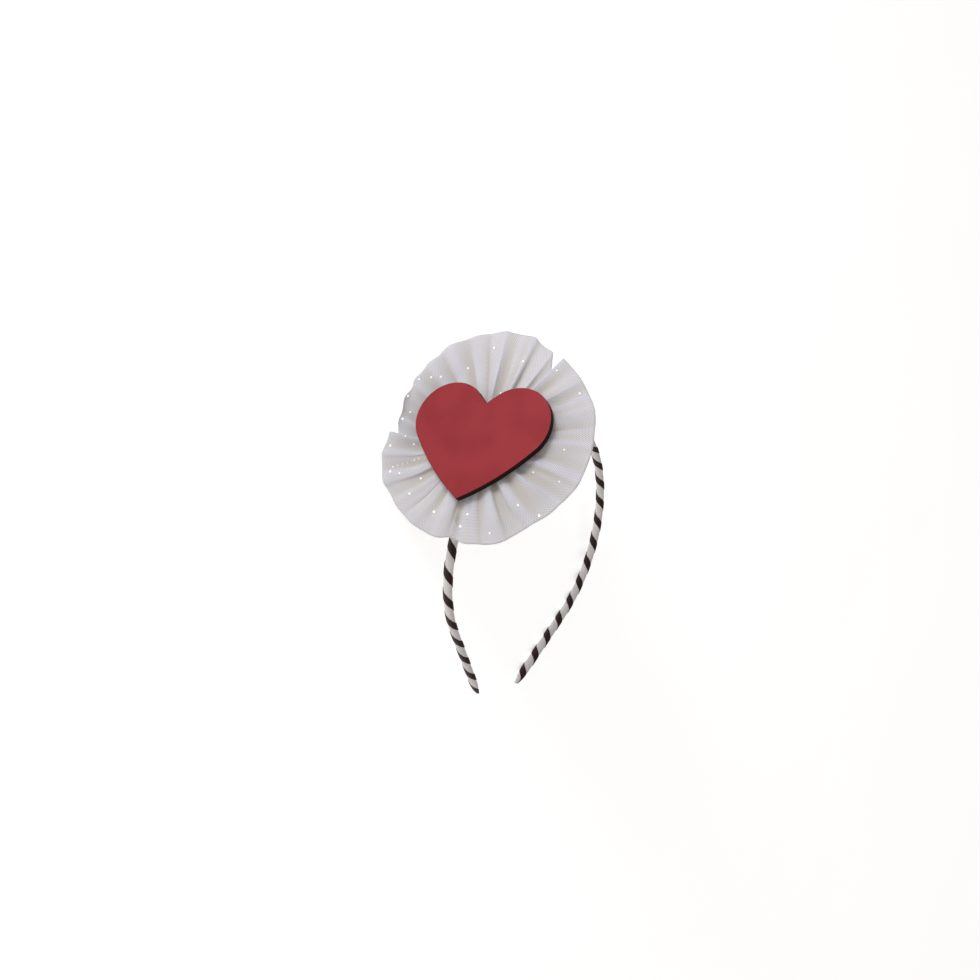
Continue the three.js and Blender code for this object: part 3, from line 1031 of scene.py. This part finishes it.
def heart_plate():
    """A flat plate with slightly rounded cut edges, a painted face and a burnt edge."""
    heart = settings().heart
    edge_rows = 4
    steps = np.linspace(0, math.pi / 2, edge_rows)
    bends = [(heart.edge * (1 - math.sin(a)), heart.edge * (1 - math.cos(a))) for a in steps]
    rings = bends[::-1] + [(heart.thickness - lift, inset) for lift, inset in bends]
    points, uvs = [], []
    for lift, inset in rings:
        flat = heart_outline(inset)
        run = np.concatenate([[0], np.cumsum(np.linalg.norm(np.diff(flat, axis=0), axis=1))])
        points.append(np.column_stack([flat, np.full(len(flat), heart.back + lift)]))
        uvs.append(np.column_stack([run, np.full(len(flat), lift)]) / MM)
    columns = len(points[0])
    faces = grid_faces(len(rings), columns, wrap=True)
    faces.append(tuple(range(columns - 1, -1, -1)))
    faces.append(tuple(range((len(rings) - 1) * columns, len(rings) * columns)))
    matrix = rosette_frame() @ Matrix.Translation((heart.side, 0, 0)) @ turned(heart.turn, "Z")
    made = link_mesh("heart_plate", moved(np.concatenate(points), matrix), faces, np.concatenate(uvs))
    top_ring = (len(rings) - 2) * columns
    for face in made.data.polygons:
        face.material_index = 0 if min(face.vertices) >= top_ring else 1
        face.use_smooth = len(face.vertices) == 4
    return made


# Pad
def felt_disc():
    """The felt wedge behind the gathers: flat on top, hollowed to sit on the hoop, with a soft rim."""
    pad, hoop, tulle = settings().pad, settings().hoop, settings().tulle
    sides, fuzziness, fuzz_seed = 64, 0.01, 7
    rim_rows, rim_share = 4, 0.12
    around = np.linspace(0, FULL_TURN, sides, endpoint=False)
    outer = hoop.radius + hoop.thickness / 2 + pad.seat
    fuzz = 1 + fuzziness * np.random.default_rng(fuzz_seed).standard_normal(sides)

    def ring(radius, part):
        x, y = radius * fuzz * np.cos(around), radius * fuzz * np.sin(around)
        seat = np.sqrt(outer ** 2 - (y + tulle.up) ** 2) - tulle.out
        return np.stack([x, y, seat + (pad.top - seat) * part], -1)

    below = [(pad.radius * r, 0) for r in (0.02, 0.3, 0.6, 0.85)]
    for a in np.linspace(0.3, 1.57, rim_rows):
        below.append((pad.radius - pad.edge * (1 - math.sin(a)), rim_share * (1 - math.cos(a))))
    middle = [(pad.radius, part) for part in (0.3, 0.5, 0.7)]
    above = [(radius, 1 - part) for radius, part in below[::-1]]
    rows = [ring(radius, part) for radius, part in below + middle + above]
    points = np.concatenate(rows)
    faces = grid_faces(len(rows), sides, wrap=True)
    faces.append(tuple(range(sides)))
    faces.append(tuple(range(len(points) - 1, len(points) - sides - 1, -1)))
    return outward_faces(link_mesh("felt_disc", moved(points, rosette_frame()), faces))


# Stage
def camera_axes():
    """Right, up and back of the photograph's camera, in the row frame."""
    stage = settings().stage
    a, e = stage.azimuth, stage.elevation
    level = Vector((math.cos(a), math.sin(a), 0))
    back = Vector((math.sin(a) * math.cos(e), -math.cos(a) * math.cos(e), math.sin(e)))
    upright = back.cross(level)
    right = level * math.cos(stage.roll) + upright * math.sin(stage.roll)
    up = upright * math.cos(stage.roll) - level * math.sin(stage.roll)
    turn = worn_frame().to_3x3()
    return turn @ right, turn @ up, turn @ back


def set_camera():
    """The photograph's camera."""
    stage = settings().stage
    right, up, back = camera_axes()
    data = bpy.data.cameras.new("photo_camera")
    data.sensor_width = SENSOR_MM
    data.lens = stage.lens / MM
    data.clip_start = NEAREST_SEEN
    made = link_object("photo_camera", data)
    eye = worn_frame().translation + right * stage.right + up * stage.above + back * stage.distance
    turn = Matrix((right, up, back)).transposed()
    made.matrix_world = Matrix.Translation(eye) @ turn.to_4x4()
    bpy.context.scene.camera = made


def set_light(name, toward, power, distance, size, tint):
    """A square soft light that faces the rosette from a direction."""
    data = bpy.data.lights.new(name, "AREA")
    data.size = size
    data.energy = power
    data.color = tint
    made = link_object(name, data)
    toward = toward.normalized()
    made.location = rosette_frame().translation + toward * distance
    made.rotation_mode = "QUATERNION"
    made.rotation_quaternion = toward.to_track_quat("Z", "Y")


def set_lights():
    """The key light, the broad light overhead and the even light all round."""
    stage = settings().stage
    axes = dict(zip(("right", "up", "back"), camera_axes()))
    toward = sum((axes[name] * part for name, part in KEY_TOWARD.items()), Vector())
    set_light("key_light", toward, stage.key, **KEY_LIGHT)
    set_light("top_light", Vector((0, 0, 1)), stage.top, **TOP_LIGHT)
    world = bpy.data.worlds.new("even_light")
    world.use_nodes = True
    tree = world.node_tree
    sky = tree.nodes["Background"].inputs
    seen = tree.nodes.new("ShaderNodeLightPath").outputs["Is Camera Ray"]
    feed(tree, sky["Strength"], maths(tree, "MAXIMUM", seen, stage.sky))
    feed(tree, sky["Color"], SKY_TINT)
    bpy.context.scene.world = world
    bpy.context.scene.view_settings.view_transform = "Standard"


def set_floor():
    """A round pale floor, in rings that widen outwards."""
    sides, rings = 48, (0.1, 0.4, 1)
    around = np.linspace(0, FULL_TURN, sides, endpoint=False)
    points = [(0, 0, 0)]
    for radius in settings().stage.floor * np.array(rings):
        points += [(radius * math.cos(a), radius * math.sin(a), 0) for a in around]
    faces = [(0, 1 + j, 1 + (j + 1) % sides) for j in range(sides)]
    faces += [face[::-1] for face in grid_faces(len(rings), sides, start=1, wrap=True)]
    made = link_mesh("pale_floor", points, faces)
    made.data.materials.append(floor_material())


# Operators
class HEADBAND_OT_wind_ribbons(bpy.types.Operator):
    """Winds the white and the dark ribbon round the band"""

    bl_idname = "headband.wind_ribbons"
    bl_label = "Wind ribbons"

    def execute(self, context):
        ribbon = settings().ribbon
        white = ribbon_material("white_satin", ribbon.white, roughness=0.55, sheen=0.3)
        dark = ribbon_material("dark_satin", ribbon.dark, roughness=0.5, sheen=0.0)
        dress(white_winding(), "white_ribbon", white, node="band")
        dress(dark_winding(), "black_ribbon", dark, node="stripe_ribbon")
        return {"FINISHED"}


class HEADBAND_OT_press_pad(bpy.types.Operator):
    """Makes the felt pad that the gathers are fixed to"""

    bl_idname = "headband.press_pad"
    bl_label = "Press felt pad"

    def execute(self, context):
        made = dress(felt_disc(), "felt", felt_material(), node="felt_pad")
        return {"FINISHED"}


class HEADBAND_OT_gather_tulle(bpy.types.Operator):
    """Gathers the back and the front fan of tulle"""

    bl_idname = "headband.gather_tulle"
    bl_label = "Gather tulle"

    def execute(self, context):
        cloth = tulle_material()
        for which in FANS:
            made = dress(make_fan(which), "tulle", cloth, node=f"ruffle_{which}")
        return {"FINISHED"}


class HEADBAND_OT_strew_sparkles(bpy.types.Operator):
    """Sets the sparkles on the tulle"""

    bl_idname = "headband.strew_sparkles"
    bl_label = "Strew sparkles"

    def execute(self, context):
        sparkle = settings().sparkle
        foil = sparkle_material()
        places, outs, sizes = sparkle_points()
        holder = link_mesh("sparkle_places", places, [])
        paint_points(holder.data, "outward", outs, "FLOAT_VECTOR", "vector")
        paint_points(holder.data, "size", sizes)
        made = grown(
            holder, sparkle_tree(), "sparkles",
            Radius=sparkle.radius, Thickness=sparkle.thickness, Seed=sparkle.seed, Foil=foil,
        )
        dress(made, "tulle", foil)
        return {"FINISHED"}


class HEADBAND_OT_cut_heart(bpy.types.Operator):
    """Cuts and paints the heart plate"""

    bl_idname = "headband.cut_heart"
    bl_label = "Cut heart"

    def execute(self, context):
        dress(heart_plate(), "red_paint", paint_material(), burnt_material(), node="heart")
        return {"FINISHED"}


class HEADBAND_OT_set_stage(bpy.types.Operator):
    """Sets the floor, the photograph's camera and the lights"""

    bl_idname = "headband.set_stage"
    bl_label = "Set stage"

    def execute(self, context):
        set_floor()
        set_camera()
        set_lights()
        return {"FINISHED"}


class HEADBAND_PT_maker(bpy.types.Panel):
    """Lists the steps of the headband's making"""

    bl_idname = "HEADBAND_PT_maker"
    bl_label = "Heart headband"
    bl_space_type = "VIEW_3D"
    bl_region_type = "UI"
    bl_category = "Headband"

    def draw(self, context):
        for step in STEPS:
            self.layout.operator(step.bl_idname)
        made = context.scene.headband
        self.layout.prop(made, "show_sizes")
        if made.show_sizes:
            for kind in ("hoop", "ribbon", "tulle", "sparkle", "heart", "pad", "stage"):
                group = getattr(made, kind)
                for name in group.__annotations__:
                    self.layout.prop(group, name)


STEPS = (
    HEADBAND_OT_wind_ribbons,
    HEADBAND_OT_press_pad,
    HEADBAND_OT_gather_tulle,
    HEADBAND_OT_strew_sparkles,
    HEADBAND_OT_cut_heart,
    HEADBAND_OT_set_stage,
)
CLASSES = (
    HoopSettings,
    RibbonSettings,
    TulleSettings,
    SparkleSettings,
    HeartSettings,
    PadSettings,
    StageSettings,
    HeadbandSettings,
    *STEPS,
    HEADBAND_PT_maker,
)


def register():
    for made in CLASSES:
        bpy.utils.register_class(made)
    about = "Sizes and colours of the headband"
    bpy.types.Scene.headband = settings_of(HeadbandSettings, "Headband", about)


def unregister():
    del bpy.types.Scene.headband
    for made in reversed(CLASSES):
        bpy.utils.unregister_class(made)


def main():
    register()
    bpy.ops.headband.wind_ribbons()
    bpy.ops.headband.press_pad()
    bpy.ops.headband.gather_tulle()
    bpy.ops.headband.strew_sparkles()
    bpy.ops.headband.cut_heart()
    bpy.ops.headband.set_stage()


if __name__ == "__main__":
    main()
